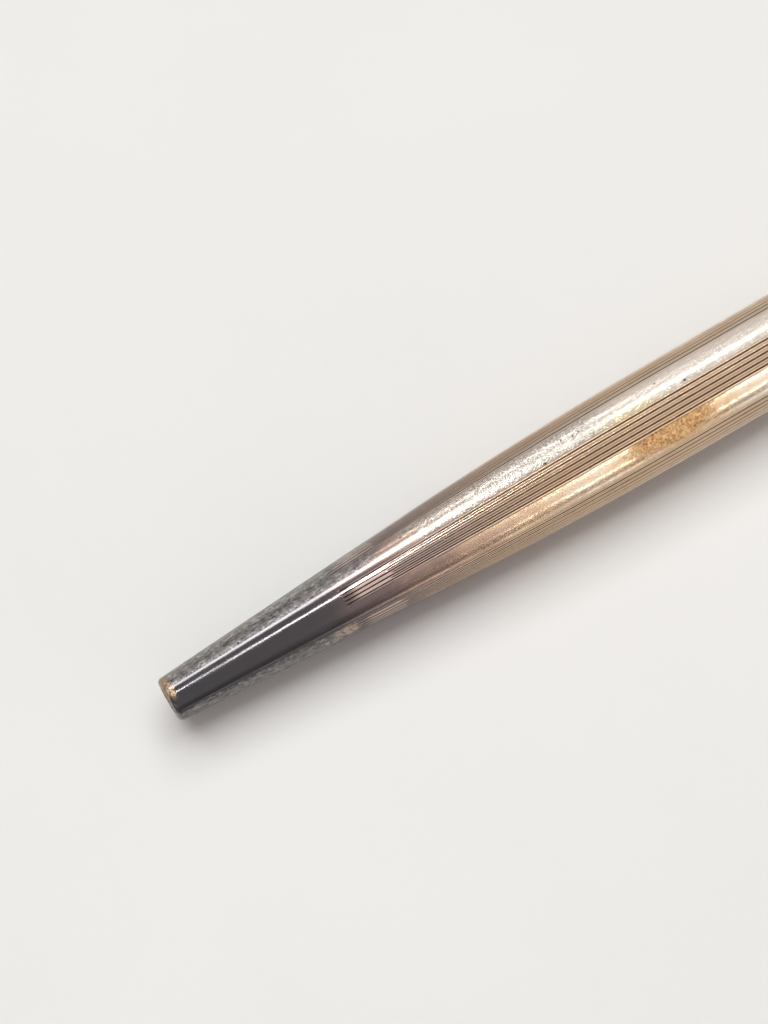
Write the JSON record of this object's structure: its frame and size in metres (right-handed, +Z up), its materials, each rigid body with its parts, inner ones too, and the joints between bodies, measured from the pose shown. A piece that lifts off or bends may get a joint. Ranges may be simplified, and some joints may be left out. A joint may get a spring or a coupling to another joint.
{
  "type": "mechanical pencil",
  "caption": "Slim metal mechanical pencil with a tapered nose, fine lengthwise lines, a twist-out point, a push button over an eraser, and a spring clip.",
  "frame": {"origin": "centre of the nose's front end, on the pencil's axis, with the point drawn in", "axes": "+X along the pencil from the nose to the push button; +Z up from the surface it lies on, where it rests on its barrel and on the clip's ball"},
  "size_m": [0.1337, 0.0114, 0.0092],
  "materials": {
    "silver_plate": "worn and tarnished silver plate on brass",
    "brass": "turned, unplated",
    "steel": "satin",
    "rubber": "matte",
    "eraser": "matte",
    "graphite": "dark lead",
    "aluminium": "drawn",
    "nylon": "matte"
  },
  "bodies": {
    "lower": {"lower_barrel": "silver_plate", "connector_bush": "brass", "centre_ring": "silver_plate", "friction_ring": "rubber", "guide_tube": "brass", "retaining_ring": "steel", "return_spring": "steel"},
    "upper": {"upper_barrel": "silver_plate", "cam_sleeve": "brass", "drive_bush": "brass", "end_nut": "brass", "clip_collar": "silver_plate", "crown": "silver_plate"},
    "clip": {"clip": "silver_plate"},
    "cartridge": {"point_cone": "steel", "guide_sleeve": "steel", "lead_retainer": "rubber", "cartridge_tube": "brass", "spring_seat": "brass", "end_bush": "brass", "follower_pins": "steel", "chuck_spring": "steel"},
    "clutch_ring": {"clutch_ring": "steel"},
    "feed_unit": {"chuck_body": "brass", "magazine_tube": "aluminium", "spare_leads": "graphite", "eraser_holder": "brass", "eraser": "eraser"},
    "jaw_1": {"chuck_jaw_1": "brass"},
    "jaw_2": {"chuck_jaw_2": "brass"},
    "jaw_3": {"chuck_jaw_3": "brass"},
    "lead": {"lead": "graphite"},
    "cap": {"push_button": "silver_plate", "button_grip": "nylon"}
  },
  "joints": [
    {"name": "twist", "type": "hinge", "parent": "lower", "child": "upper", "pos_m": [0.0745, 0, 0], "axis": [1, 0, 0], "range_deg": [0, 180]},
    {"name": "point_extend", "type": "slide", "parent": "lower", "child": "cartridge", "axis": [-1, 0, 0], "range_m": [0, 0.0055], "deforming": ["return_spring"]},
    {"name": "button_press", "type": "slide", "parent": "cartridge", "child": "feed_unit", "axis": [-1, 0, 0], "range_m": [0, 0.003], "stiffness_N_per_m": 400, "springref_m": -0.002, "deforming": ["chuck_spring"]},
    {"name": "clutch_slide", "type": "slide", "parent": "cartridge", "child": "clutch_ring", "axis": [-1, 0, 0], "range_m": [0, 0.0009]},
    {"name": "jaw_1_open", "type": "hinge", "parent": "feed_unit", "child": "jaw_1", "pos_m": [0.034, 0, 0.0006], "axis": [0, 1, 0], "range_deg": [0, 1.07]},
    {"name": "jaw_2_open", "type": "hinge", "parent": "feed_unit", "child": "jaw_2", "pos_m": [0.034, -0.00052, -0.0003], "axis": [0, -0.5, 0.866], "range_deg": [0, 1.07]},
    {"name": "jaw_3_open", "type": "hinge", "parent": "feed_unit", "child": "jaw_3", "pos_m": [0.034, 0.00052, -0.0003], "axis": [0, -0.5, -0.866], "range_deg": [0, 1.07]},
    {"name": "lead_feed", "type": "slide", "parent": "cartridge", "child": "lead", "axis": [-1, 0, 0], "range_m": [0, 0.01]},
    {"name": "cap_pull", "type": "slide", "parent": "feed_unit", "child": "cap", "axis": [1, 0, 0], "range_m": [0, 0.022]},
    {"name": "clip_flex", "type": "hinge", "parent": "upper", "child": "clip", "pos_m": [0.1181, -0.00354, -0.00207], "axis": [0, -0.5041, 0.8637], "range_deg": [0, 6], "stiffness_Nm_per_rad": 0.3}
  ],
  "couplings": [
    {"joint": "twist", "follows": "point_extend", "rad_per_m": 571.19},
    {"joint": "clutch_slide", "follows": "button_press", "ratio": 0.3},
    {"joint": "jaw_1_open", "follows": "button_press", "rad_per_m": 6.2},
    {"joint": "jaw_2_open", "follows": "button_press", "rad_per_m": 6.2},
    {"joint": "jaw_3_open", "follows": "button_press", "rad_per_m": 6.2}
  ]
}
